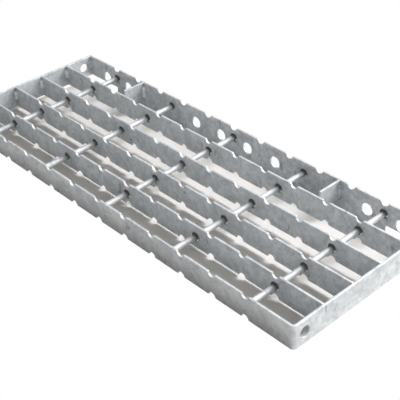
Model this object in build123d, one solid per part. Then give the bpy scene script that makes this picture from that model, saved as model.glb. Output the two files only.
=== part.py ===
from build123d import *
import os

# Galvanised steel stair tread: six notched flat bars on edge, joined by five round rods.
# Millimetres. X runs along the tread, Y from its front to its back, Z up.
# The origin is under the middle of the tread, on the plane of its lowest edge.

# The tread as a whole
tread_length = 510.0
bar_count = 6
bar_pitch = 36.25
bar_height = 25.0
bar_thickness = 2.5
corner_radius = 4.0
end_margin = 55.0  # from each end of the tread to the first notch, rod and back hole pair

# The half-round notches along the top and bottom edges
notch_pitch = 40.0
notch_radius = 4.2
notch_depth = 4.0

# The round rods that pass through the bars
rod_count = 5
rod_diameter = 6.0
rod_hole_diameter = 9.0

# The back bar, which is deeper over its middle stretch
back_bar_depth = 35.0
back_step_inset = 52.5
back_corner_radius = 3.0
back_hole_diameter = 13.0
back_hole_rise = 7.5  # above the lower edge of the bar's shallow ends
back_hole_pitch = 40.0
back_middle_holes = 4
back_side_holes = 2

# The holes that bolt each end of the tread to its stringer
end_hole_diameter = 11.0
end_hole_inset = 13.5

# The two short plates that stand on the back bar's front face, placed from the tread's ends
left_plate_inset = 104.0
right_plate_inset = 110.0
plate_gap = 6.5

# Welds
end_weld_leg = 3.0
end_weld_length = 11.0
end_weld_rise = 2.5
plate_weld_leg = 2.5
plate_weld_length = 16.0
tack_width = 2.4
tack_proud = 0.9
tack_angle = 35.0

# Worked out from the sizes above
tread_depth = (bar_count - 1) * bar_pitch + bar_thickness
front_face = -tread_depth / 2
back_face = tread_depth / 2
floor_gap = back_bar_depth - bar_height
top_level = back_bar_depth
mid_level = floor_gap + bar_height / 2
end_inside = tread_length / 2 - bar_thickness
gridded_length = tread_length - 2 * end_margin
notch_count = 1 + round(gridded_length // notch_pitch)
rod_pitch = gridded_length / (rod_count - 1)
rod_radius = rod_diameter / 2
rod_hole_radius = rod_hole_diameter / 2
back_deep_length = tread_length - 2 * back_step_inset
back_hole_level = floor_gap + back_hole_rise
left_plate_x = left_plate_inset - tread_length / 2
right_plate_x = tread_length / 2 - right_plate_inset
tack_reach = (rod_hole_radius**2 - (tack_width / 2) ** 2) ** 0.5


def bar_front(number):
    """The Y of the front face of a bar, counted from 1 at the tread's front edge."""
    return front_face + (number - 1) * bar_pitch


def row(count, pitch, centre=0.0):
    """Evenly spaced places along X, about a centre."""
    return [centre + (i - (count - 1) / 2) * pitch for i in range(count)]


rod_places = row(rod_count, rod_pitch)
notch_places = row(notch_count, notch_pitch)


def holes_along_y(places, level, diameter, y):
    """Round cutters through the bar whose front face is at y, at the given X places."""
    turned = Rotation(90, 0, 0) * Cylinder(diameter / 2, 2 * bar_thickness)
    return [Pos(x, y + bar_thickness / 2, level) * turned for x in places]


def notches(y, edge, outward):
    """Cutters for the row of notches in one edge: circles centred a little outside it."""
    level = edge + outward * (notch_radius - notch_depth)
    return holes_along_y(notch_places, level, 2 * notch_radius, y)


def bar_on_edge(outline, y):
    """A flat bar with the given outline in X and Z, thickened backwards from the plane at y."""
    upright = Plane(origin=(0, y, 0), x_dir=(1, 0, 0), z_dir=(0, -1, 0))
    return extrude(upright * outline, amount=-bar_thickness)


def u_frame():
    """The front bar and both end plates: one flat bar with two rounded bends."""
    outer = Rectangle(tread_length, tread_depth)
    outer = fillet(outer.vertices().sort_by(Axis.Y)[:2], corner_radius)
    inner = Pos(0, bar_thickness) * Rectangle(2 * end_inside, tread_depth)
    inner = fillet(inner.vertices().sort_by(Axis.Y)[:2], corner_radius - bar_thickness)
    frame = Pos(0, 0, floor_gap) * extrude(outer - inner, amount=bar_height)
    frame = frame - notches(front_face, top_level, 1) - notches(front_face, floor_gap, -1)
    bolt_hole = Rotation(0, 90, 0) * Cylinder(end_hole_diameter / 2, 2 * tread_length)
    for y in (front_face + end_hole_inset, back_face - end_hole_inset):
        frame = frame - Pos(0, y, mid_level) * bolt_hole
    return frame


def inner_bar(number):
    """One of the bars between the end plates, notched on both edges and holed for the rods."""
    outline = Pos(0, mid_level) * Rectangle(2 * end_inside, bar_height)
    y = bar_front(number)
    bar = bar_on_edge(outline, y)
    bar = bar - notches(y, top_level, 1) - notches(y, floor_gap, -1)
    return bar - holes_along_y(rod_places, mid_level, rod_hole_diameter, y)


def back_bar():
    """The back bar: level with the others at its ends and deeper over its middle, with bolt holes."""
    shallow = Pos(0, mid_level) * Rectangle(2 * end_inside, bar_height)
    deep = Pos(0, back_bar_depth / 2) * Rectangle(back_deep_length, back_bar_depth)
    deep = fillet(deep.vertices().sort_by(Axis.Y)[:2], back_corner_radius)
    y = bar_front(bar_count)
    bar = bar_on_edge(shallow + deep, y) - notches(y, top_level, 1)
    bolts = row(back_middle_holes, back_hole_pitch)
    for side in (-1, 1):
        bolts += row(back_side_holes, back_hole_pitch, side * gridded_length / 2)
    bar = bar - holes_along_y(bolts, back_hole_level, back_hole_diameter, y)
    return bar - holes_along_y(rod_places, mid_level, rod_hole_diameter, y)


def cross_rod(x):
    """A round rod from the front bar's back face through every other bar to the back face."""
    start = bar_front(1) + bar_thickness
    rod = Rotation(90, 0, 0) * Cylinder(rod_radius, back_face - start)
    return Pos(x, (start + back_face) / 2, mid_level) * rod


def short_plate(x):
    """A plate on edge between the last two bars, welded to the back bar and free at its front."""
    front = bar_front(bar_count - 1) + bar_thickness + plate_gap
    depth = bar_front(bar_count) - front
    return Pos(x, front + depth / 2, mid_level) * Box(bar_thickness, depth, bar_height)


def corner_weld(leg, length):
    """A convex bead in the corner of the planes X = 0 and Y = 0, on the side +X, -Y."""
    corner = Box(2 * leg, 2 * leg, 2 * length)
    return Cylinder(leg, length) & (Pos(leg, -leg, 0) * corner)


def end_weld(number, side):
    """The bead where a bar's front face meets an end plate: side is -1 at the left, 1 at the right."""
    bead = corner_weld(end_weld_leg, end_weld_length)
    if side > 0:
        bead = mirror(bead, about=Plane.YZ)
    return Pos(side * end_inside, bar_front(number), mid_level + end_weld_rise) * bead


def plate_weld(x):
    """The bead where a short plate's right face meets the back bar."""
    bead = corner_weld(plate_weld_leg, plate_weld_length)
    return Pos(x + bar_thickness / 2, bar_front(bar_count), mid_level) * bead


def rod_tack(x, number):
    """The weld that holds a rod in its oversize hole: it fills the gap at the rod's lower right."""
    along = tack_proud + bar_thickness
    tack = Pos((rod_radius + tack_reach) / 2, along / 2 - tack_proud, 0)
    tack = tack * Box(tack_reach - rod_radius, along, tack_width)
    return Pos(x, bar_front(number), mid_level) * Rotation(0, tack_angle, 0) * tack


def rod_tacks(x):
    """All the tacks along one rod."""
    return [rod_tack(x, number) for number in range(2, bar_count + 1)]


def tread():
    """Every piece of the tread, by its name."""
    pieces = {"u_frame": u_frame(), "back_bar": back_bar()}
    for number in range(2, bar_count):
        pieces[f"inner_bar_{number}"] = inner_bar(number)
    for i, x in enumerate(rod_places, start=1):
        pieces[f"cross_rod_{i}"] = cross_rod(x)
        pieces[f"cross_rod_{i}_tacks"] = Compound(rod_tacks(x))
    for name, x in (("left", left_plate_x), ("right", right_plate_x)):
        pieces[f"short_plate_{name}"] = short_plate(x)
        pieces[f"short_plate_{name}_weld"] = plate_weld(x)
    for number in range(2, bar_count + 1):
        pieces[f"end_weld_{number}_left"] = end_weld(number, -1)
        pieces[f"end_weld_{number}_right"] = end_weld(number, 1)
    return pieces


os.makedirs("parts", exist_ok=True)
for name, piece in tread().items():
    export_step(piece, f"parts/{name}.step")
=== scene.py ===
import math

import bmesh
import bpy
import numpy as np
from mathutils import Matrix, Vector


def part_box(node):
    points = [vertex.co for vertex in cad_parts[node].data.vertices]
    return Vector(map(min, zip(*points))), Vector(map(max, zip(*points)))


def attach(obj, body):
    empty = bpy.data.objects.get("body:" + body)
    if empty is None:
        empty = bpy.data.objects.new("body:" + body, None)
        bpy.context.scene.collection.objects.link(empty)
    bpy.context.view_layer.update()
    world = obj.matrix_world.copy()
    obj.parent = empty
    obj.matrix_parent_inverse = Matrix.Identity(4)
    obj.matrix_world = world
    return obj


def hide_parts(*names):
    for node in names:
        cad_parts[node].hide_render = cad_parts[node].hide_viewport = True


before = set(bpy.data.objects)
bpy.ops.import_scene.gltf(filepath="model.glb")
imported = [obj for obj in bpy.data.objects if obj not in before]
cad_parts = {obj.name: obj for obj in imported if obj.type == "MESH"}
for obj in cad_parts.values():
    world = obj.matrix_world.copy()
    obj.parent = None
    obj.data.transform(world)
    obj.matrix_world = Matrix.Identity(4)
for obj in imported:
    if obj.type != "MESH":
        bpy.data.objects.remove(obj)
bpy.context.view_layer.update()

bl_info = {
    "name": "Galvanised stair tread",
    "version": (1, 0, 0),
    "blender": (4, 5, 0),
    "location": "View3D > Sidebar > Stair tread",
    "description": "Dresses a packed stair tread: notched bars, rods, welds and their zinc coat",
    "category": "Object",
}

MM = 0.001
INNER_NUMBERS = (2, 3, 4, 5)
BACK_NUMBER = 6
ROD_NUMBERS = (1, 2, 3, 4, 5)
# The beads whose corners are dark in the photo
DULL_BEADS = ("end_weld_6_left", "short_plate_right_weld")
# The mesh value that is 1 where shade is painted dark and 0 elsewhere
PAINTED_SHADE_NAME = "residue"

# Read from the frame, in metres
INNER_LOW, INNER_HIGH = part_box("inner_bar_2")
FRAME_LOW, FRAME_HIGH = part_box("u_frame")
BACK_LOW, BACK_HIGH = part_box("back_bar")
ROD_BOXES = [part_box(f"cross_rod_{n}") for n in ROD_NUMBERS]
BAR_THICKNESS = INNER_HIGH.y - INNER_LOW.y
BAR_TOP = INNER_HIGH.z
BAR_FOOT = INNER_LOW.z
BAR_FRONTS = {n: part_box(f"inner_bar_{n}")[0].y for n in INNER_NUMBERS}
BAR_FRONTS[BACK_NUMBER] = BACK_LOW.y
ROD_PLACES = [(low.x + high.x) / 2 for low, high in ROD_BOXES]
ROD_LEVEL = (ROD_BOXES[0][0].z + ROD_BOXES[0][1].z) / 2
ROD_RADIUS = (ROD_BOXES[0][1].z - ROD_BOXES[0][0].z) / 2

# The same sizes as the solids
NOTCH_PLACES = np.arange(-5, 6) * 40 * MM
ROD_HOLE_RADIUS = 4.5 * MM
BOLT_HOLE_RADIUS = 6.5 * MM
BOLT_HOLE_PLACES = [x * MM for x in (-220, -180, -60, -20, 20, 60, 180, 220)]
END_HOLE_RADIUS = 5.5 * MM
END_HOLE_INSET = 13.5 * MM
BEND_RADIUS = 4 * MM
DEEP_REACH = 202.5 * MM
DEEP_CORNER = 3 * MM

# The frame's bar laid out flat: the radius and the length of a bend along the middle of the
# thickness, the length of an arm, and the middle of the front bar to its bend
BEND_MIDDLE = BEND_RADIUS - BAR_THICKNESS / 2
BEND_LENGTH = BEND_MIDDLE * math.pi / 2
ARM_LENGTH = FRAME_HIGH.y - FRAME_LOW.y - BEND_RADIUS
HALF_FRONT = FRAME_HIGH.x - BEND_RADIUS

# How finely the bars are divided: points round an arris, a lip, a notch, a bend and a corner,
# and the spacing along a straight edge
ARRIS_STEPS = 4
LIP_STEPS = 6
NOTCH_STEPS = 21
BEND_STEPS = 13
CORNER_STEPS = 7
WALL_STEPS = 6
EDGE_SPACING = 4 * MM
# How close a marked place may lie to the end of its stretch, and its decimals in metres
MARK_MARGIN = 0.2 * MM
PLACE_DIGITS = 8
# Half the length of a stretch about a notch, and what a stretch about a hole adds to its radius
NOTCH_REACH = 7.4 * MM
HOLE_MARGIN = 2.2 * MM
# Shares of the way up a bar's face, and from a hole to the border of its stretch
ROWS = np.array([0, 0.015, 0.06, 0.16, 0.3, 0.5, 0.7, 0.84, 0.94, 0.985, 1.0])
RINGS = np.array([0, 0.1, 0.3, 0.6, 1.0])
# Points closer together than this are merged
MERGE_DISTANCE = 2e-6
# A rod and a notch closer together than this share one place
SHARED_PLACE = 1e-5

# The unevenness of the faces: its sines, their lengths in millimetres and their greatest slope
WAVE_COUNT = 5
WAVE_LENGTHS = (35, 160)
WAVE_SLOPE = 0.5

# The random draws of each kind of piece
FRAME_SEED = 11
BAR_SEED = 20
ROD_SEED = 40
TACK_SEED = 71
BEAD_SEED = 300

# A rod: points round it, its rows in the fillet at the front bar, where its even rows start
# and how many they are, and the points round its rear end
TUBE_STEPS = 33
FILLET_ROWS = np.array([0, 0.05, 0.15, 0.3, 0.5, 0.8, 1.2, 1.8, 2.6]) * MM
EVEN_START = 4 * MM
EVEN_ROWS = 90
TIP_STEPS = 5
# How far a rod's end lies inside the front bar, the length over which the fillet thins out by
# the factor e, and where it ends
ROD_SUNK = 0.3 * MM
FILLET_FADE = 0.55 * MM
FILLET_END = 3 * MM
# The unevenness of a rod's coat, and how far it wanders round the rod
ROD_UNEVENNESS = 0.08 * MM
ROD_WANDER = 12 * MM
# The painted shade that darkens a rod in front of each bar: its reach, and its middle in front
# of the bar's front face
PAINTED_SHADE_REACH = 2.5 * MM
PAINTED_SHADE_LEAD = 0.3 * MM

# A tack: how far it turns at random, and its middle behind the front face and outside the rod
TACK_SWAY = 0.25
TACK_DEPTH = 0.7 * MM
TACK_OUT = 0.75 * MM
# Half sizes of its drop in millimetres, out from the rod, along the gap and through the bar,
# the height of the drop's waves as a share of them, and its rows and points round it
DROP_OUT = (1.15, 1.45)
DROP_ALONG = (1.3, 1.9)
DROP_THROUGH = 1.7
DROP_WAVES = 0.10
DROP_ROWS, DROP_STEPS = 11, 17
# A dark ring of painted shade that fills the gap in a rod's hole: how far it reaches into the
# rod and into the bar
SHADE_RING_INSIDE = 0.4 * MM
SHADE_RING_OUTSIDE = 0.3 * MM
# In millimetres behind the bar's front face: its borders, the dish below them and its back
SHADE_RING_FACE, SHADE_RING_DISH, SHADE_RING_BACK = 0.55, 0.35, 1.9
# Points from its inner to its outer border, and round the rod
SHADE_RING_STEPS, SHADE_RING_TURNS = 7, 41

# A bead: its rows and the points across it. Each end tapers over a seventh of its length
BEAD_ROWS = 56
BEAD_STEPS = 9
BEAD_TAPERS = 7
# Shares of the leg: its plain part, its ripples, its slow sway and its back inside the metal
BEAD_BODY, BEAD_RIPPLE, BEAD_SWAY = 0.86, 0.13, 0.10
BEAD_SUNK = -0.1

# The part of the floor that keeps its shadow for the camera, in X and in Y
SHADOW_GROUND = ((-262 * MM, 250 * MM), (-82 * MM, 104 * MM))
SHADOW_FADE = 5 * MM
# How much further out the floor keeps its shadow for mirror rays
MIRROR_MARGIN = 32 * MM


def length_property(name, description, default):
    """A setting that holds a length."""
    return bpy.props.FloatProperty(
        name=name, description=description, default=default, unit="LENGTH"
    )


def power_property(name, description, default):
    """A setting that holds a lamp's power."""
    return bpy.props.FloatProperty(
        name=name, description=description, default=default, unit="POWER"
    )


def colour_property(name, description, default):
    """A setting that holds a colour."""
    return bpy.props.FloatVectorProperty(
        name=name, description=description, default=default, subtype="COLOR"
    )


class BarSizes(bpy.types.PropertyGroup):
    """Sizes of the flat bars' edges"""

    notch_radius: length_property("Notch radius", "Radius of the half-round notches", 4.2 * MM)
    notch_depth: length_property("Notch depth", "How far a notch cuts into the edge", 4 * MM)
    lip: length_property("Notch lip", "Radius that the zinc leaves at a notch's mouth", 0.8 * MM)
    arris: length_property("Arris", "Radius of the bars' long edges", 0.45 * MM)
    wave: length_property("Wave", "How far the bars' faces are out of true", 0.12 * MM)


class RodSizes(bpy.types.PropertyGroup):
    """Sizes of the rods' ends and of their tack welds"""

    collar: length_property(
        "Collar", "Height of the zinc fillet where a rod meets the front bar", 1.1 * MM
    )
    chamfer: length_property("Chamfer", "Rounding at a rod's rear end", 0.5 * MM)
    tack_turn: bpy.props.FloatProperty(
        name="Tack angle", description="Place of the tacks, below the rod's right side",
        default=math.radians(35), subtype="ANGLE",
    )


class WeldSizes(bpy.types.PropertyGroup):
    """Sizes of the weld beads"""

    end_leg: length_property("End weld leg", "Leg of the beads at the bars' ends", 3 * MM)
    plate_leg: length_property("Plate weld leg", "Leg of the short plates' beads", 2.5 * MM)
    ripple_pitch: length_property("Ripple pitch", "Distance between a bead's ripples", 1.5 * MM)


class ZincColours(bpy.types.PropertyGroup):
    """Colours of the zinc coat"""

    bright: colour_property(
        "Bright zinc", "Colour of the coat's lightest crystals", (0.685, 0.712, 0.735)
    )
    dull: colour_property(
        "Dull zinc", "Colour of the coat's darkest patches", (0.425, 0.452, 0.474)
    )
    rod: colour_property("Rod zinc", "Colour of the rods' smoother coat", (0.68, 0.69, 0.70))
    weld: colour_property(
        "Weld zinc", "Colour of the lightest coat on the welds", (0.86, 0.88, 0.86)
    )


class StageSettings(bpy.types.PropertyGroup):
    """Floor, lights and camera"""

    floor_shade: colour_property("Floor", "Colour of the floor", (0.93, 0.91, 0.888))
    key_power: power_property("Key light", "Power of the large lamp behind the tread", 34.0)
    side_power: power_property("Side light", "Power of the lamp at the right", 3.8)
    front_power: power_property(
        "Front light", "Power of the low lamp in front of the tread", 2.2
    )
    ambient: bpy.props.FloatProperty(
        name="Ambient", description="Strength of the light from all round", default=0.2,
        min=0.0,
    )
    camera_place: bpy.props.FloatVectorProperty(
        name="Camera place", description="Where the camera stands",
        default=(0.61875, -0.48663, 0.53193), subtype="TRANSLATION", unit="LENGTH",
    )
    lens: bpy.props.FloatProperty(
        name="Lens", description="Focal length in millimetres", default=83.519,
    )


# Meshes from grids of points


class Skin:
    """Grids of points that join along their borders into one closed mesh.

    Each grid is an array of rows by columns by (x, y, z, painted shade), where the painted shade
    is 1 where a rod's hole and the rod near it are painted dark as shade and 0 elsewhere. The
    beads' grids leave it out."""

    def __init__(self):
        self.points = []
        self.faces = []
        self.count = 0

    def add(self, grid):
        """Takes in a grid's points, and a face between each four of them."""
        rows, columns = grid.shape[:2]
        number = np.arange(rows * columns).reshape(rows, columns) + self.count
        quads = np.stack([number[:-1, :-1], number[:-1, 1:], number[1:, 1:], number[1:, :-1]], -1)
        self.points.append(grid.reshape(-1, grid.shape[2]))
        self.faces.append(quads.reshape(-1, 4))
        self.count += rows * columns

    def arrays(self):
        """All the points, and all the faces as four point numbers each."""
        return np.concatenate(self.points), np.concatenate(self.faces)


def make_piece(name, points, faces, material, replaced):
    """One object at the origin from its points, with shared borders merged and faces outward."""
    mesh = bpy.data.meshes.new(name)
    mesh.from_pydata(points[:, :3], [], faces)
    if points.shape[1] > 3:
        residue = mesh.attributes.new(PAINTED_SHADE_NAME, "FLOAT", "POINT")
        residue.data.foreach_set("value", points[:, 3].astype(np.float32))
    shaped = bmesh.new()
    shaped.from_mesh(mesh)
    bmesh.ops.remove_doubles(shaped, verts=shaped.verts, dist=MERGE_DISTANCE)
    bmesh.ops.recalc_face_normals(shaped, faces=shaped.faces)
    shaped.to_mesh(mesh)
    shaped.free()
    mesh.shade_smooth()
    mesh.materials.append(material)
    piece = bpy.data.objects.new(name, mesh)
    bpy.context.scene.collection.objects.link(piece)
    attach(piece, "root")
    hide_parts(*replaced)
    return piece


def gentle_wave(along, up, seed, size):
    """A smooth unevenness from 0 to size: sines with seeded lengths, slopes and turns."""
    draw = np.random.default_rng(seed)
    total = np.zeros_like(along)
    for _ in range(WAVE_COUNT):
        length = draw.uniform(*WAVE_LENGTHS) * MM
        slope = draw.uniform(-WAVE_SLOPE, WAVE_SLOPE)
        turn = draw.uniform(0, math.tau)
        total = total + np.sin(math.tau * (along + slope * up) / length + turn)
    return size * (0.5 + total / (2 * WAVE_COUNT))


def rounded_section(arris, thickness):
    """A bar's edge in section: inset from the edge and place through the thickness.

    A quarter circle from the front face to the edge, then one from the edge to the back face."""
    turn = np.linspace(0, math.pi / 2, ARRIS_STEPS)
    inset = arris * (1 - np.sin(turn))
    through = arris * (1 - np.cos(turn))
    return (
        np.concatenate([inset, inset[::-1]]),
        np.concatenate([through, thickness - through[::-1]]),
    )


def notch_line(sizes):
    """A notch in elevation, as places along the edge and depths below it.

    The notch is an arc of the notch radius, and an arc of the lip radius joins it to the edge
    at each side, tangent to both."""
    radius, depth, lip = sizes.notch_radius, sizes.notch_depth, sizes.lip
    rise = radius - depth
    reach = math.sqrt((radius + lip) ** 2 - (rise + lip) ** 2)
    lean = math.atan2(rise + lip, reach)
    lip_turn = np.linspace(0, math.pi / 2 - lean, LIP_STEPS)
    notch_turn = np.linspace(lean, math.pi - lean, NOTCH_STEPS)[1:-1]
    lip_along = lip * np.sin(lip_turn) - reach
    lip_depth = lip * (1 - np.cos(lip_turn))
    along = np.concatenate([lip_along, -radius * np.cos(notch_turn), -lip_along[::-1]])
    depths = np.concatenate([lip_depth, radius * np.sin(notch_turn) - rise, lip_depth[::-1]])
    return along, depths


def straight_line(start, end, level, marks=()):
    """A straight stretch of edge as points (along, up), with any marks in it as points too."""
    count = max(2, round((end - start) / EDGE_SPACING) + 1)
    along = np.linspace(start, end, count)
    inside = [mark for mark in marks if start + MARK_MARGIN < mark < end - MARK_MARGIN]
    along = np.unique(np.round(np.concatenate([along, inside]), PLACE_DIGITS))
    along[0], along[-1] = start, end
    return np.stack([along, np.full(len(along), level)], 1)


def notched_line(start, end, level, outward, centre, sizes):
    """A stretch of edge with one notch: outward is 1 for an upper edge and -1 for a lower one."""
    along, depths = notch_line(sizes)
    left = straight_line(start, centre + along[0], level)[:-1]
    right = straight_line(centre + along[-1], end, level)[1:]
    notch = np.stack([centre + along, level - outward * depths], 1)
    return np.concatenate([left, notch, right])


def inward(line, outward):
    """The direction into the metal at each point of an edge, at right angles to the edge."""
    run = np.gradient(line, axis=0)
    run /= np.linalg.norm(run, axis=1, keepdims=True)
    return outward * np.stack([run[:, 1], -run[:, 0]], 1)


def flat_points(place, through, residue=0.0):
    """Points of a grid in a bar's own frame: along, up, through and painted shade."""
    through = np.broadcast_to(through, place.shape[:-1])
    residue = np.broadcast_to(residue, place.shape[:-1])
    return np.concatenate([place, through[..., None], residue[..., None]], -1)


def add_edge(skin, line, outward, arris, thickness):
    """The rounded edge of one stretch: the edge's section carried along its line."""
    inset, through = rounded_section(arris, thickness)
    into = inward(line, outward)
    place = line[None] + inset[:, None, None] * into[None]
    skin.add(flat_points(place, through[:, None]))
    return line + arris * into


def add_hole(skin, centre, radius, low, high, arris, thickness, residue):
    """A round hole and the faces about it, with a wall painted dark as shade or a plain wall.

    Each ring lies between the hole's circle and the border of its block, point for point. The
    circle's points keep two thirds of their border points' directions and one third even
    spacing, so that none cross under a notch."""
    left = low[0] + ROWS[:, None] * (high[0] - low[0])
    right = low[-1] + ROWS[:, None] * (high[-1] - low[-1])
    border = np.concatenate([low[:-1], right[:-1], high[:0:-1], left[::-1]])
    about = border - centre
    turn = np.unwrap(np.arctan2(about[:, 1], about[:, 0]))
    even = turn[0] + np.linspace(0, math.tau, len(turn))
    turn = turn + (even - turn) / 3
    out = np.stack([np.cos(turn), np.sin(turn)], 1)
    inner = centre + (radius + arris) * out
    rings = inner[None] + RINGS[:, None, None] * (border - inner)[None]
    for through in (0.0, thickness):
        skin.add(flat_points(rings, through))
    inset, through = rounded_section(arris, thickness)
    wall = centre + (radius + inset)[:, None, None] * out[None]
    skin.add(flat_points(wall, through[:, None], residue))


def add_end(skin, end, side, low_level, high_level, arris, thickness):
    """A bar's cut end: the rounded section swept up the end and over its corners."""
    inset, through = rounded_section(arris, thickness)
    bulge = arris - inset
    turn = np.linspace(0, math.pi / 2, ARRIS_STEPS)[1:]
    rows = low_level + arris + ROWS * (high_level - low_level - 2 * arris)
    extra = np.ones(len(turn))
    centres = np.concatenate([rows[0] * extra, rows, rows[-1] * extra])
    forward = np.concatenate([np.cos(turn[::-1]), np.ones(len(rows)), np.cos(turn)])
    upward = np.concatenate([-np.sin(turn[::-1]), np.zeros(len(rows)), np.sin(turn)])
    along = end - side * arris + side * forward[:, None] * bulge[None]
    up = centres[:, None] + upward[:, None] * bulge[None]
    skin.add(flat_points(np.stack([along, up], -1), through))


def bar_skin(start, end, foot, top, notches, holes, sizes, lower=None, marks=()):
    """A flat bar on edge in its own frame, as stretches between its ends.

    notches holds {centre: (upper, lower)} and holes holds {centre: (level, radius)}. A stretch
    with a hole is rings about it, and any other is rows between its two edges. lower gives the
    lower edge where it isn't straight, and marks are places that need points of their own."""
    skin = Skin()
    arris, thickness = sizes.arris, BAR_THICKNESS
    first, last = start + arris, end - arris
    centres = sorted(set(notches) | set(holes))
    cuts = [first]
    for mark in centres:
        about_notch = NOTCH_REACH if mark in notches else 0
        about_hole = holes[mark][1] + HOLE_MARGIN if mark in holes else 0
        reach = max(about_notch, about_hole)
        cuts += [mark - reach, mark + reach]
    cuts.append(last)
    for number, (a, b) in enumerate(zip(cuts[:-1], cuts[1:])):
        mark = centres[number // 2] if number % 2 else None
        upper_notch, lower_notch = notches.get(mark, (False, False))
        if upper_notch:
            high = notched_line(a, b, top, 1, mark, sizes)
        else:
            high = straight_line(a, b, top, marks)
        if lower is not None:
            low = lower(a, b, high[:, 0])
        elif lower_notch:
            low = notched_line(a, b, foot, -1, mark, sizes)
        else:
            low = np.stack([high[:, 0], np.full(len(high), foot)], 1)
        high_in = add_edge(skin, high, 1, arris, thickness)
        low_in = add_edge(skin, low, -1, arris, thickness)
        if mark in holes:
            level, radius = holes[mark]
            # A rod hole's wall is painted dark as shade; a bolt hole's wall is not
            centre, residue = np.array([mark, level]), float(radius == ROD_HOLE_RADIUS)
            add_hole(skin, centre, radius, low_in, high_in, arris, thickness, residue)
        else:
            face = low_in[None] + ROWS[:, None, None] * (high_in - low_in)[None]
            for through in (0.0, thickness):
                skin.add(flat_points(face, through))
    for place, side in zip((start, end), (-1, 1)):
        add_end(skin, place, side, foot, top, arris, thickness)
    return skin.arrays()


def along_x(points, front, seed, wave):
    """A bar's own frame turned into the tread's: along is X, and through is Y from the front
    face."""
    bow = gentle_wave(points[:, 0], points[:, 1], seed, wave) - wave / 2
    return np.stack([points[:, 0], front + points[:, 2] + bow, points[:, 1], points[:, 3]], 1)


# Materials


def place_node(tree, kind, inputs=None, **settings):
    """One node: each input is a plain value or the socket that feeds it."""
    made = tree.nodes.new(kind)
    for name, value in settings.items():
        setattr(made, name, value)
    for name, value in (inputs or {}).items():
        if isinstance(value, bpy.types.NodeSocket):
            tree.links.new(value, made.inputs[name])
        else:
            made.inputs[name].default_value = value
    return made


def calculate(tree, operation, first, second=0.0):
    """The result of one sum on numbers or sockets."""
    return place_node(
        tree, "ShaderNodeMath", {0: first, 1: second}, operation=operation
    ).outputs[0]


def blend_colours(tree, factor, first, second):
    """The first colour where factor is 0 and the second where it is 1."""
    return place_node(
        tree, "ShaderNodeMix", {0: factor, 6: first, 7: second}, data_type="RGBA"
    ).outputs[2]


def spread(tree, value, low, high, to_low=0.0, to_high=1.0):
    """Stretches a value's range from low..high to to_low..to_high, without going past it."""
    return place_node(
        tree, "ShaderNodeMapRange", {0: value, 1: low, 2: high, 3: to_low, 4: to_high}
    ).outputs[0]


def new_group(name, inputs, outputs):
    """An empty node group with its named sockets, and its two end nodes."""
    group = bpy.data.node_groups.new(name, "ShaderNodeTree")
    for label, (kind, default) in inputs.items():
        socket = group.interface.new_socket(name=label, in_out="INPUT", socket_type=kind)
        socket.default_value = default
    for label, kind in outputs.items():
        group.interface.new_socket(name=label, in_out="OUTPUT", socket_type=kind)
    return group, group.nodes.new("NodeGroupInput"), group.nodes.new("NodeGroupOutput")


# How much each pattern adds to the coat's brightness, and to its relief
CLOUD_SHARE, CRYSTAL_SHARE, GRAIN_SHARE = 0.55, 0.3, 0.35
CLOUD_RELIEF, FINE_RELIEF = 0.6, 0.8
# The stretch of the scuffs' pattern over which a scuff sets in
SCUFF_START, SCUFF_FULL = 0.635, 0.685
SCUFF_COLOUR = (0.30, 0.315, 0.335, 1)
# The painted shade in and near the rods' holes: its dark colour and its roughness
PAINTED_SHADE_COLOUR = (0.17, 0.17, 0.165, 1)
PAINTED_SHADE_ROUGHNESS = 0.95
WHITE = (1, 1, 1, 1)


def noise(tree, place, scale, detail, roughness=0.5, distortion=0.0):
    """A soft random pattern from 0 to 1."""
    return place_node(
        tree, "ShaderNodeTexNoise",
        {"Vector": place, "Scale": scale, "Detail": detail, "Roughness": roughness,
         "Distortion": distortion},
    ).outputs[0]


def drawn_upright(tree, place, share):
    """The place with only this share of its height, which draws a pattern out upright."""
    return place_node(
        tree, "ShaderNodeMapping", {"Vector": place, "Scale": (1.0, 1.0, share)}
    ).outputs[0]


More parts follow.
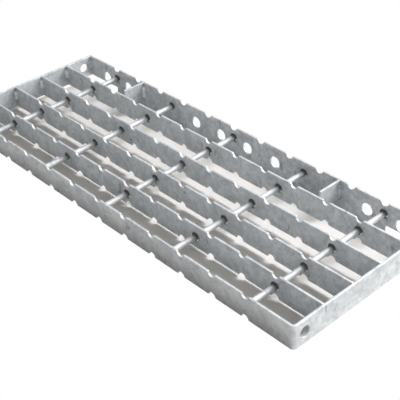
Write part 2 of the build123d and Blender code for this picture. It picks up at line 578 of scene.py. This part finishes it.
def zinc_group():
    """The hot-dip coat: clouds, crystals, upright run marks, fine grain and sparse scuffs, and
    the painted shade, dark, rough and not metal, where a mesh carries it."""
    group, given, result = new_group(
        "Zinc coat",
        {
            "Bright": ("NodeSocketColor", (0.7, 0.7, 0.7, 1)),
            "Dull": ("NodeSocketColor", (0.4, 0.4, 0.4, 1)),
            "Cloud size": ("NodeSocketFloat", 60.0),
            "Crystal size": ("NodeSocketFloat", 300.0),
            "Mottling": ("NodeSocketFloat", 1.0),
            "Runs": ("NodeSocketFloat", 0.3),
            "Scuffs": ("NodeSocketFloat", 0.0),
            "Smooth": ("NodeSocketFloat", 0.4),
            "Rough": ("NodeSocketFloat", 0.6),
            "Metal": ("NodeSocketFloat", 0.75),
        },
        {
            "Colour": "NodeSocketColor", "Roughness": "NodeSocketFloat",
            "Metallic": "NodeSocketFloat", "Height": "NodeSocketFloat",
        },
    )
    knobs = given.outputs

    # The patterns
    here = place_node(group, "ShaderNodeTexCoord").outputs["Object"]
    clouds = noise(group, here, knobs["Cloud size"], 4.0, 0.62, 0.8)
    clouded = spread(group, clouds, 0.3, 0.7)
    crystals = place_node(
        group, "ShaderNodeTexVoronoi",
        {"Vector": here, "Scale": knobs["Crystal size"], "Randomness": 1.0}, feature="F1",
    )
    crystal = place_node(
        group, "ShaderNodeSeparateColor", {0: crystals.outputs["Color"]}
    ).outputs[0]
    grain = noise(group, here, 1400.0, 3.0)
    runs = noise(group, drawn_upright(group, here, 0.12), 110.0, 3.0, 0.55)
    marks = noise(group, drawn_upright(group, here, 0.4), 150.0, 3.0, 0.7, 0.5)
    # The mesh's painted shade, which darkens the rods' holes and the rods near them
    residue = place_node(
        group, "ShaderNodeAttribute", attribute_name=PAINTED_SHADE_NAME
    ).outputs["Fac"]

    # The coat's brightness, about a middle of 0.5
    crystal_part = calculate(group, "MULTIPLY", crystal, CRYSTAL_SHARE)
    grain_part = calculate(group, "MULTIPLY", grain, GRAIN_SHARE)
    fine = calculate(group, "ADD", crystal_part, grain_part)
    cloud_part = calculate(group, "MULTIPLY", clouded, CLOUD_SHARE)
    mixed = calculate(group, "ADD", cloud_part, fine)
    middle = (CLOUD_SHARE + CRYSTAL_SHARE + GRAIN_SHARE) / 2
    centred = calculate(group, "SUBTRACT", mixed, middle)
    mottled = calculate(group, "MULTIPLY", centred, knobs["Mottling"])
    streaks = calculate(group, "SUBTRACT", runs, 0.5)
    streaks = calculate(group, "MULTIPLY", streaks, knobs["Runs"])
    level = calculate(group, "ADD", calculate(group, "ADD", mottled, 0.5), streaks)

    # Colour
    shade = spread(group, level, 0.0, 1.0)
    body = blend_colours(group, shade, knobs["Dull"], knobs["Bright"])
    scuffs = spread(group, marks, SCUFF_START, SCUFF_FULL)
    scuffs = calculate(group, "MULTIPLY", scuffs, knobs["Scuffs"])
    scuffed = blend_colours(group, scuffs, body, SCUFF_COLOUR)
    shaded_colour = blend_colours(group, residue, scuffed, PAINTED_SHADE_COLOUR)
    group.links.new(shaded_colour, result.inputs["Colour"])

    # Metal, roughness and relief
    unshaded = calculate(group, "SUBTRACT", 1.0, residue)
    metal = calculate(group, "MULTIPLY", unshaded, knobs["Metal"])
    group.links.new(metal, result.inputs["Metallic"])
    rough = spread(group, level, 0.2, 0.8, knobs["Rough"], knobs["Smooth"])
    shade_rough = calculate(group, "MULTIPLY", residue, PAINTED_SHADE_ROUGHNESS)
    rough = calculate(group, "MAXIMUM", rough, shade_rough)
    group.links.new(rough, result.inputs["Roughness"])
    cloud_relief = calculate(group, "MULTIPLY", clouded, CLOUD_RELIEF)
    fine_relief = calculate(group, "MULTIPLY", fine, FINE_RELIEF)
    height = calculate(group, "ADD", cloud_relief, fine_relief)
    group.links.new(height, result.inputs["Height"])
    return group


def coated_metal(name, group, values, bump):
    """A metal whose colour, roughness and relief come from the zinc coat."""
    material = bpy.data.materials.new(name)
    material.use_nodes = True
    tree = material.node_tree
    shader = tree.nodes["Principled BSDF"]
    coat = tree.nodes.new("ShaderNodeGroup")
    coat.node_tree = group
    for label, value in values.items():
        coat.inputs[label].default_value = value
    relief = place_node(
        tree, "ShaderNodeBump",
        {"Height": coat.outputs["Height"], "Strength": bump, "Distance": 0.1 * MM},
    )
    tree.links.new(coat.outputs["Colour"], shader.inputs["Base Color"])
    tree.links.new(coat.outputs["Roughness"], shader.inputs["Roughness"])
    tree.links.new(coat.outputs["Metallic"], shader.inputs["Metallic"])
    tree.links.new(relief.outputs[0], shader.inputs["Normal"])
    return material


def opaque(colour):
    """A colour property as the four numbers of a socket."""
    return (*colour, 1.0)


def zinc_material(kind):
    """The coat of the bars, the rods, the welds or the dull welds, made when first asked for."""
    name = f"Zinc on {kind}"
    if name in bpy.data.materials:
        return bpy.data.materials[name]
    group = bpy.data.node_groups.get("Zinc coat") or zinc_group()
    colours = bpy.context.scene.tread_colours
    bright, dull = opaque(colours.bright), opaque(colours.dull)
    rod, weld = opaque(colours.rod), opaque(colours.weld)
    values, bump = {
        "bars": (
            {"Bright": bright, "Dull": dull, "Mottling": 1.35, "Runs": 0.15, "Scuffs": 0.9,
             "Smooth": 0.5, "Rough": 0.7, "Metal": 0.6}, 0.5,
        ),
        "rods": (
            {"Bright": rod, "Dull": dull, "Mottling": 0.8, "Runs": 0.0,
             "Smooth": 0.54, "Rough": 0.7, "Metal": 0.5}, 0.3,
        ),
        "welds": (
            {"Bright": weld, "Dull": rod, "Mottling": 1.3, "Runs": 0.0,
             "Smooth": 0.5, "Rough": 0.66, "Metal": 0.5}, 0.5,
        ),
        "dull welds": (
            {"Bright": bright, "Dull": dull, "Mottling": 1.3, "Runs": 0.0,
             "Smooth": 0.6, "Rough": 0.75, "Metal": 0.6}, 0.5,
        ),
    }[kind]
    return coated_metal(name, group, values, bump)


# Pieces


def frame_points(points, seed, wave):
    """The frame's one flat bar bent round its two corners.

    Along runs up the left arm, round the left corner, over the front, round the right corner
    and down the right arm. Through goes in from the outer face, and the corners' lengths are
    measured on the middle of the thickness."""
    along, up, through = points[:, 0], points[:, 1], points[:, 2]
    through = through + gentle_wave(along, up, seed, wave)
    side = np.sign(along)
    reach = np.abs(along)
    turn = np.clip((reach - HALF_FRONT) / BEND_MIDDLE, 0, math.pi / 2)
    spare = np.clip(reach - HALF_FRONT - BEND_LENGTH, 0, None)
    flat = np.minimum(reach, HALF_FRONT)
    radius = BEND_RADIUS - through
    x = side * (flat + radius * np.sin(turn))
    y = FRAME_LOW.y + BEND_RADIUS - radius * np.cos(turn) + spare
    return np.stack([x, y, up, points[:, 3]], 1)


class TREAD_OT_frame_bar(bpy.types.Operator):
    """Builds the front bar and both end plates, one notched bar with two bends"""

    bl_idname = "tread.frame_bar"
    bl_label = "Front bar and end plates"

    def execute(self, context):
        sizes = context.scene.tread_bars
        half = HALF_FRONT + BEND_LENGTH + ARM_LENGTH
        near = half - ARM_LENGTH - BEND_RADIUS + END_HOLE_INSET
        holes = {}
        for side in (-1, 1):
            for place in (near, half - END_HOLE_INSET):
                holes[side * place] = (ROD_LEVEL, END_HOLE_RADIUS)
        notches = {x: (True, True) for x in NOTCH_PLACES}
        bend = np.linspace(0, BEND_LENGTH, BEND_STEPS) + FRAME_HIGH.x - BEND_RADIUS
        points, faces = bar_skin(
            -half, half, BAR_FOOT, BAR_TOP, notches, holes, sizes, marks=[*-bend, *bend]
        )
        points = frame_points(points, FRAME_SEED, sizes.wave)
        make_piece("frame_bar_coated", points, faces, zinc_material("bars"), ["u_frame"])
        return {"FINISHED"}


class TREAD_OT_inner_bars(bpy.types.Operator):
    """Builds the four notched bars between the end plates"""

    bl_idname = "tread.inner_bars"
    bl_label = "Inner bars"

    def execute(self, context):
        sizes = context.scene.tread_bars
        notches = {x: (True, True) for x in NOTCH_PLACES}
        holes = {nearest(x): (ROD_LEVEL, ROD_HOLE_RADIUS) for x in ROD_PLACES}
        end = INNER_HIGH.x + sizes.arris
        for number in INNER_NUMBERS:
            points, faces = bar_skin(-end, end, BAR_FOOT, BAR_TOP, notches, holes, sizes)
            points = along_x(points, BAR_FRONTS[number], BAR_SEED + number, sizes.wave)
            make_piece(
                f"inner_bar_{number}_coated", points, faces, zinc_material("bars"),
                [f"inner_bar_{number}"],
            )
        return {"FINISHED"}


def nearest(x):
    """The notch place that a rod shares, or the rod's own place."""
    gap = np.abs(NOTCH_PLACES - x)
    return float(NOTCH_PLACES[gap.argmin()]) if gap.min() < SHARED_PLACE else round(x, 6)


def back_lower_line(start, end, places):
    """The back bar's lower edge: level with the others at the ends, then down a wall and round
    a corner to the deep stretch."""
    middle = (start + end) / 2
    side = 1 if middle > 0 else -1
    near, far = sorted((abs(start), abs(end)))
    if near < DEEP_REACH < far and start * end > 0:
        turn = np.linspace(0, math.pi / 2, CORNER_STEPS)
        centre = DEEP_REACH - DEEP_CORNER
        flat = straight_line(near, centre, BACK_LOW.z)[:-1]
        corner = np.stack(
            [centre + DEEP_CORNER * np.sin(turn), DEEP_CORNER * (1 - np.cos(turn))], 1
        )
        wall = np.linspace(DEEP_CORNER, BAR_FOOT, WALL_STEPS)[1:]
        wall = np.stack([np.full(len(wall), DEEP_REACH), wall], 1)
        ledge = straight_line(DEEP_REACH, far, BAR_FOOT)[1:]
        line = np.concatenate([flat, corner, wall, ledge])
        line[:, 0] *= side
        return line if side > 0 else line[::-1]
    level = BACK_LOW.z if far <= DEEP_REACH else BAR_FOOT
    return np.stack([places, np.full(len(places), level)], 1)


class TREAD_OT_back_bar(bpy.types.Operator):
    """Builds the back bar, deeper over its middle, with its bolt holes"""

    bl_idname = "tread.back_bar"
    bl_label = "Back bar"

    def execute(self, context):
        sizes = context.scene.tread_bars
        notches = {x: (True, False) for x in NOTCH_PLACES}
        holes = {nearest(x): (ROD_LEVEL, ROD_HOLE_RADIUS) for x in ROD_PLACES}
        bolt_level = (BACK_LOW.z + BACK_HIGH.z) / 2
        for x in BOLT_HOLE_PLACES:
            holes[x] = (bolt_level, BOLT_HOLE_RADIUS)
        end = BACK_HIGH.x + sizes.arris
        points, faces = bar_skin(
            -end, end, BAR_FOOT, BAR_TOP, notches, holes, sizes, back_lower_line
        )
        points = along_x(points, BAR_FRONTS[BACK_NUMBER], BAR_SEED + BACK_NUMBER, 0.0)
        make_piece("back_bar_coated", points, faces, zinc_material("bars"), ["back_bar"])
        return {"FINISHED"}


class TREAD_OT_short_plates(bpy.types.Operator):
    """Builds the two short plates that stand on the back bar"""

    bl_idname = "tread.short_plates"
    bl_label = "Short plates"

    def execute(self, context):
        sizes = context.scene.tread_bars
        for side in ("left", "right"):
            low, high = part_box(f"short_plate_{side}")
            points, faces = bar_skin(low.y, high.y + sizes.arris, low.z, high.z, {}, {}, sizes)
            points = np.stack([low.x + points[:, 2], points[:, 0], points[:, 1], points[:, 3]], 1)
            make_piece(
                f"short_plate_{side}_coated", points, faces, zinc_material("bars"),
                [f"short_plate_{side}"],
            )
        return {"FINISHED"}


def tube(rows, radii, seed):
    """Round sections carried along Y, each with its own radius; the ring at each end is a
    point. A slow wave of a few hundredths of a millimetre makes the coat uneven."""
    turn = np.linspace(0, math.tau, TUBE_STEPS)
    along = rows[:, None] + 0 * turn
    uneven = gentle_wave(along, ROD_WANDER * np.sin(turn)[None], seed, ROD_UNEVENNESS)
    radius = np.clip(radii[:, None] - uneven * (radii[:, None] > 0), 0, None)
    grid = np.stack([radius * np.cos(turn), along, radius * np.sin(turn)], -1)
    grid[:, -1] = grid[:, 0]
    return grid


def with_painted_shade(grid, residue):
    """A grid of places with its painted shade: one value for them all, or one for each row."""
    column = np.broadcast_to(np.reshape(residue, (-1, 1, 1)), (*grid.shape[:2], 1))
    return np.concatenate([grid, column], -1)


class TREAD_OT_cross_rods(bpy.types.Operator):
    """Builds the five round rods, with the fillet at the front bar and a rounded rear end"""

    bl_idname = "tread.cross_rods"
    bl_label = "Cross rods"

    def execute(self, context):
        sizes = context.scene.tread_rods
        turn = np.linspace(0, math.pi / 2, TIP_STEPS)
        for number, (low, high) in zip(ROD_NUMBERS, ROD_BOXES):
            body = np.linspace(low.y + EVEN_START, high.y - sizes.chamfer, EVEN_ROWS)
            tip = high.y - sizes.chamfer * (1 - np.sin(turn))[1:]
            rows = np.concatenate(
                [[low.y - ROD_SUNK] * 2, low.y + FILLET_ROWS, body, tip, [high.y]]
            )
            flare = sizes.collar * np.exp(-(rows - low.y) / FILLET_FADE)
            radii = ROD_RADIUS + np.where(rows < low.y + FILLET_END, flare, 0)
            radii[0] = radii[-1] = 0
            radii[1] = ROD_RADIUS + sizes.collar
            radii[-TIP_STEPS:-1] = ROD_RADIUS - sizes.chamfer * (1 - np.cos(turn))[1:]
            grid = tube(rows, radii, ROD_SEED + number)
            grid[..., 0] += (low.x + high.x) / 2
            grid[..., 2] += ROD_LEVEL
            # Painted shade: each rod grows dark just in front of each bar it passes
            gaps = rows[:, None] - np.array(list(BAR_FRONTS.values()))[None]
            residue = np.exp(-(((gaps + PAINTED_SHADE_LEAD) / PAINTED_SHADE_REACH) ** 4)).max(1)
            skin = Skin()
            skin.add(with_painted_shade(grid, residue))
            points, faces = skin.arrays()
            make_piece(
                f"cross_rod_{number}_coated", points, faces, zinc_material("rods"),
                [f"cross_rod_{number}"],
            )
        return {"FINISHED"}


def weld_drop(place, radial, across, seed):
    """A drop of weld metal: an ellipsoid whose radius swells and sinks with seeded waves.

    radial points from the rod to the hole's edge, across lies along the gap, and Y through the
    bar."""
    draw = np.random.default_rng(seed)
    up = np.linspace(-math.pi / 2, math.pi / 2, DROP_ROWS)[:, None]
    turn = np.linspace(0, math.tau, DROP_STEPS)[None]
    swell = 1 + DROP_WAVES * np.sin(3 * turn + draw.uniform(0, 6)) * np.cos(up)
    swell = swell + DROP_WAVES * np.sin(2 * turn + 3 * up + draw.uniform(0, 6)) * np.cos(up)
    a = swell * np.cos(up) * np.cos(turn) * draw.uniform(*DROP_OUT) * MM
    b = swell * np.cos(up) * np.sin(turn) * draw.uniform(*DROP_ALONG) * MM
    c = swell * np.sin(up) * DROP_THROUGH * MM
    grid = place + a[..., None] * radial + b[..., None] * across
    grid = grid + c[..., None] * np.array([0, 1, 0])
    grid[:, -1] = grid[:, 0]
    grid[0] = grid[0, 0]
    grid[-1] = grid[-1, 0]
    return grid


def shade_ring(x, front, inner, outer):
    """A dark ring of painted shade that fills the gap round a rod: dished in front by a half
    sine, with its inner and outer borders inside the metal."""
    share = np.linspace(0, 1, SHADE_RING_STEPS)
    radius = inner + share * (outer - inner)
    face = front + (SHADE_RING_FACE + SHADE_RING_DISH * np.sin(math.pi * share)) * MM
    back = np.full(SHADE_RING_STEPS, front + SHADE_RING_BACK * MM)
    radius = np.concatenate([radius, radius[::-1], radius[:1]])
    place = np.concatenate([face, back, face[:1]])
    turn = np.linspace(0, math.tau, SHADE_RING_TURNS)
    grid = np.stack(
        [x + radius[:, None] * np.cos(turn), place[:, None] + 0 * turn,
         ROD_LEVEL + radius[:, None] * np.sin(turn)], -1
    )
    grid[:, -1] = grid[:, 0]
    return grid


class TREAD_OT_rod_tacks(bpy.types.Operator):
    """Builds the tack welds that hold the rods in their oversize holes, and the painted shade
    in their gaps
    """

    bl_idname = "tread.rod_tacks"
    bl_label = "Rod tacks"

    def execute(self, context):
        sizes = context.scene.tread_rods
        draw = np.random.default_rng(TACK_SEED)
        inner, outer = ROD_RADIUS - SHADE_RING_INSIDE, ROD_HOLE_RADIUS + SHADE_RING_OUTSIDE
        for number, x in zip(ROD_NUMBERS, ROD_PLACES):
            skin = Skin()
            for bar, front in BAR_FRONTS.items():
                turn = -sizes.tack_turn + draw.uniform(-TACK_SWAY, TACK_SWAY)
                radial = np.array([math.cos(turn), 0, math.sin(turn)])
                across = np.array([-math.sin(turn), 0, math.cos(turn)])
                centre = np.array([x, front + TACK_DEPTH, ROD_LEVEL])
                place = centre + (ROD_RADIUS + TACK_OUT) * radial
                drop = weld_drop(place, radial, across, 100 * number + bar)
                skin.add(with_painted_shade(drop, 0.0))
                # A dark ring of painted shade in the gap of the rod's hole
                skin.add(with_painted_shade(shade_ring(x, front, inner, outer), 1.0))
            points, faces = skin.arrays()
            make_piece(
                f"cross_rod_{number}_tacks_coated", points, faces,
                zinc_material("welds"), [f"cross_rod_{number}_tacks"],
            )
        return {"FINISHED"}


def bead(corner, side, low, high, leg, pitch, seed):
    """A rippled fillet weld in an upright corner.

    A quarter-round section is carried up the corner. Its leg follows scallops of the ripple
    pitch and tapers to nothing over each end. The section's back lies inside the metal."""
    draw = np.random.default_rng(seed)
    level = np.linspace(low, high, BEAD_ROWS)
    share = (level - low) / (high - low)
    taper = np.clip(np.minimum(share, 1 - share) * BEAD_TAPERS, 0, 1) ** 0.5
    ripple = np.abs(np.sin(math.pi * (level - low) / pitch + draw.uniform(0, 3)))
    sway = np.sin(math.tau * share * draw.uniform(1.2, 2.2) + draw.uniform(0, 6))
    size = leg * taper * (BEAD_BODY + BEAD_RIPPLE * ripple + BEAD_SWAY * sway)
    turn = np.linspace(0, math.pi / 2, BEAD_STEPS)
    sunk = [BEAD_SUNK]
    across = np.concatenate([sunk, [1.0], np.cos(turn), sunk, sunk])
    out = np.concatenate([sunk, sunk, np.sin(turn), [1.0], sunk])
    x = corner[0] + side * size[:, None] * across[None]
    y = corner[1] - size[:, None] * out[None]
    z = np.broadcast_to(level[:, None], x.shape)
    return np.stack([x, y, z], -1)


class TREAD_OT_welds(bpy.types.Operator):
    """Builds the beads at the bars' ends and on the short plates"""

    bl_idname = "tread.welds"
    bl_label = "Weld beads"

    def execute(self, context):
        sizes = context.scene.tread_welds
        jobs = []
        for number in BAR_FRONTS:
            jobs.append((f"end_weld_{number}_left", 1, sizes.end_leg))
            jobs.append((f"end_weld_{number}_right", -1, sizes.end_leg))
        for side in ("left", "right"):
            jobs.append((f"short_plate_{side}_weld", 1, sizes.plate_leg))
        for seed, (node, side, leg) in enumerate(jobs, start=BEAD_SEED):
            low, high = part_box(node)
            corner = (low.x if side > 0 else high.x, high.y)
            skin = Skin()
            skin.add(bead(corner, side, low.z, high.z, leg, sizes.ripple_pitch, seed))
            points, faces = skin.arrays()
            coat = "dull welds" if node in DULL_BEADS else "welds"
            make_piece(
                f"{node}_coated", points, faces, zinc_material(coat), [node]
            )
        return {"FINISHED"}


# Stage


# Half the length of the floor's sides, in metres
FLOOR_REACH = 4.0
# Each lamp: its name, the setting that holds its power, its place and what it faces, the
# length of its sides and its colour
LAMPS = (
    ("Key", "key_power", (0.57, 1.01, 0.98), (0, 0, 0), 1.0, (0.98, 0.985, 1.0)),
    ("Side", "side_power", (1.3, 0.35, 0.45), (0.2, 0, 0), 0.8, (1.0, 0.97, 0.925)),
    ("Front", "front_power", (-0.3, -1.5, 0.3), (0, 0, 0), 0.8, (1, 1, 1)),
)
AMBIENT_COLOUR = (1.0, 0.91, 0.79, 1)
# The camera's own right and up, as solved from the photograph
CAMERA_RIGHT = Vector((0.67209726, 0.73866848, -0.05151828))
CAMERA_UP = Vector((-0.39438773, 0.41599276, 0.81939511))
SENSOR_WIDTH = 36.0


def rest_plane():
    """The floor's middle and its two directions.

    The tread leans back on the front bar's lower edge and the back bar's, so the floor rises
    towards the front."""
    front = Vector((0, FRAME_LOW.y, BAR_FOOT))
    back = Vector((0, BACK_HIGH.y, BACK_LOW.z))
    return (front + back) / 2, Vector((1, 0, 0)), (back - front).normalized()


def background_rays(tree):
    """1 for the rays that show the background: camera rays, mirror rays and through rays, as
    long as no matt surface lies between."""
    path = place_node(tree, "ShaderNodeLightPath").outputs
    direct = calculate(tree, "MAXIMUM", path["Is Camera Ray"], path["Is Transmission Ray"])
    direct = calculate(tree, "MAXIMUM", direct, path["Is Glossy Ray"])
    unscattered = calculate(tree, "LESS_THAN", path["Diffuse Depth"], 0.5)
    return calculate(tree, "MULTIPLY", direct, unscattered)


def floor_material(settings):
    """A pale floor: it keeps the shadow under the tread, and is plain white to the camera and
    to mirror rays further out."""
    material = bpy.data.materials.new("Pale floor")
    material.use_nodes = True
    tree = material.node_tree
    shader = tree.nodes["Principled BSDF"]
    shader.inputs["Base Color"].default_value = opaque(settings.floor_shade)
    shader.inputs["Roughness"].default_value = 0.9
    shader.inputs["Specular IOR Level"].default_value = 0.1
    here = place_node(tree, "ShaderNodeTexCoord").outputs["Object"]
    parts = place_node(tree, "ShaderNodeSeparateXYZ", {0: here})
    seen = place_node(tree, "ShaderNodeLightPath").outputs["Is Camera Ray"]
    wider = spread(tree, seen, 0.0, 1.0, MIRROR_MARGIN, 0.0)
    edges = []
    for number, (low, high) in enumerate(SHADOW_GROUND):
        middle, reach = (low + high) / 2, (high - low) / 2
        away = calculate(tree, "SUBTRACT", parts.outputs[number], middle)
        away = calculate(tree, "ABSOLUTE", away)
        away = calculate(tree, "SUBTRACT", away, wider)
        edges.append(spread(tree, away, reach - SHADOW_FADE, reach))
    outside = calculate(tree, "MAXIMUM", *edges)
    share = calculate(tree, "MULTIPLY", outside, background_rays(tree))
    white = place_node(tree, "ShaderNodeEmission", {"Color": WHITE, "Strength": 1.0})
    mixed = place_node(
        tree, "ShaderNodeMixShader", {0: share, 1: shader.outputs[0], 2: white.outputs[0]}
    )
    tree.links.new(mixed.outputs[0], tree.nodes["Material Output"].inputs["Surface"])
    return material


def add_lamp(name, power, place, target, side, colour):
    """A soft square lamp that faces the target."""
    lamp = bpy.data.lights.new(name, "AREA")
    lamp.shape = "SQUARE"
    lamp.size = side
    lamp.energy = power
    lamp.color = colour
    holder = bpy.data.objects.new(name, lamp)
    holder.location = place
    holder.rotation_mode = "QUATERNION"
    holder.rotation_quaternion = (Vector(target) - Vector(place)).to_track_quat("-Z", "Y")
    bpy.context.scene.collection.objects.link(holder)


def aim_camera(settings):
    """The camera at its place, turned by its three axes, which were solved from the photo."""
    data = bpy.data.cameras.new("Camera")
    data.lens = settings.lens
    data.sensor_width = SENSOR_WIDTH
    data.clip_start, data.clip_end = 0.01, 50
    camera = bpy.data.objects.new("Camera", data)
    backward = CAMERA_RIGHT.cross(CAMERA_UP)
    turn = Matrix((CAMERA_RIGHT, CAMERA_UP, backward)).transposed()
    camera.matrix_world = Matrix.Translation(Vector(settings.camera_place)) @ turn.to_4x4()
    bpy.context.scene.collection.objects.link(camera)
    bpy.context.scene.camera = camera


class TREAD_OT_stage(bpy.types.Operator):
    """Builds the floor, the lights, the surroundings and the camera"""

    bl_idname = "tread.stage"
    bl_label = "Stage"

    def execute(self, context):
        scene = context.scene
        settings = scene.tread_stage
        middle, across, run = rest_plane()
        corners = [
            middle + FLOOR_REACH * (a * across + b * run)
            for a, b in ((-1, -1), (1, -1), (1, 1), (-1, 1))
        ]
        mesh = bpy.data.meshes.new("Floor")
        mesh.from_pydata([tuple(corner) for corner in corners], [], [(0, 1, 2, 3)])
        mesh.materials.append(floor_material(settings))
        floor = bpy.data.objects.new("Floor", mesh)
        scene.collection.objects.link(floor)
        for name, power_setting, place, target, side, colour in LAMPS:
            add_lamp(name, getattr(settings, power_setting), place, target, side, colour)
        world = bpy.data.worlds.new("Surroundings")
        world.use_nodes = True
        tree = world.node_tree
        seen = background_rays(tree)
        strength = spread(tree, seen, 0.0, 1.0, settings.ambient, 1.0)
        colour = blend_colours(tree, seen, AMBIENT_COLOUR, WHITE)
        tree.links.new(colour, tree.nodes["Background"].inputs["Color"])
        tree.links.new(strength, tree.nodes["Background"].inputs["Strength"])
        scene.world = world
        aim_camera(settings)
        scene.view_settings.view_transform = "Standard"
        return {"FINISHED"}


OPERATORS = (
    TREAD_OT_frame_bar,
    TREAD_OT_inner_bars,
    TREAD_OT_back_bar,
    TREAD_OT_short_plates,
    TREAD_OT_cross_rods,
    TREAD_OT_rod_tacks,
    TREAD_OT_welds,
    TREAD_OT_stage,
)


class TREAD_PT_panel(bpy.types.Panel):
    """Shows the settings and the steps that build the tread"""

    bl_idname = "TREAD_PT_panel"
    bl_label = "Stair tread"
    bl_space_type = "VIEW_3D"
    bl_region_type = "UI"
    bl_category = "Stair tread"

    def draw(self, context):
        layout = self.layout
        for name in PROPERTY_HOLDERS:
            holder = getattr(context.scene, name)
            box = layout.box()
            for field in holder.bl_rna.properties:
                if not field.is_readonly and field.identifier != "name":
                    box.prop(holder, field.identifier)
        for operator in OPERATORS:
            layout.operator(operator.bl_idname)


PROPERTY_HOLDERS = {
    "tread_bars": BarSizes,
    "tread_rods": RodSizes,
    "tread_welds": WeldSizes,
    "tread_colours": ZincColours,
    "tread_stage": StageSettings,
}


def register():
    """Adds the settings, the operators and the panel to Blender."""
    for name, group in PROPERTY_HOLDERS.items():
        bpy.utils.register_class(group)
        setattr(bpy.types.Scene, name, bpy.props.PointerProperty(type=group))
    for operator in OPERATORS:
        bpy.utils.register_class(operator)
    bpy.utils.register_class(TREAD_PT_panel)


def unregister():
    """Takes the panel, the operators and the settings out again."""
    bpy.utils.unregister_class(TREAD_PT_panel)
    for operator in reversed(OPERATORS):
        bpy.utils.unregister_class(operator)
    for name, group in PROPERTY_HOLDERS.items():
        delattr(bpy.types.Scene, name)
        bpy.utils.unregister_class(group)


def main():
    """Builds every piece and the stage."""
    register()
    bpy.ops.tread.frame_bar()
    bpy.ops.tread.inner_bars()
    bpy.ops.tread.back_bar()
    bpy.ops.tread.short_plates()
    bpy.ops.tread.cross_rods()
    bpy.ops.tread.rod_tacks()
    bpy.ops.tread.welds()
    bpy.ops.tread.stage()


if __name__ == "__main__":
    main()
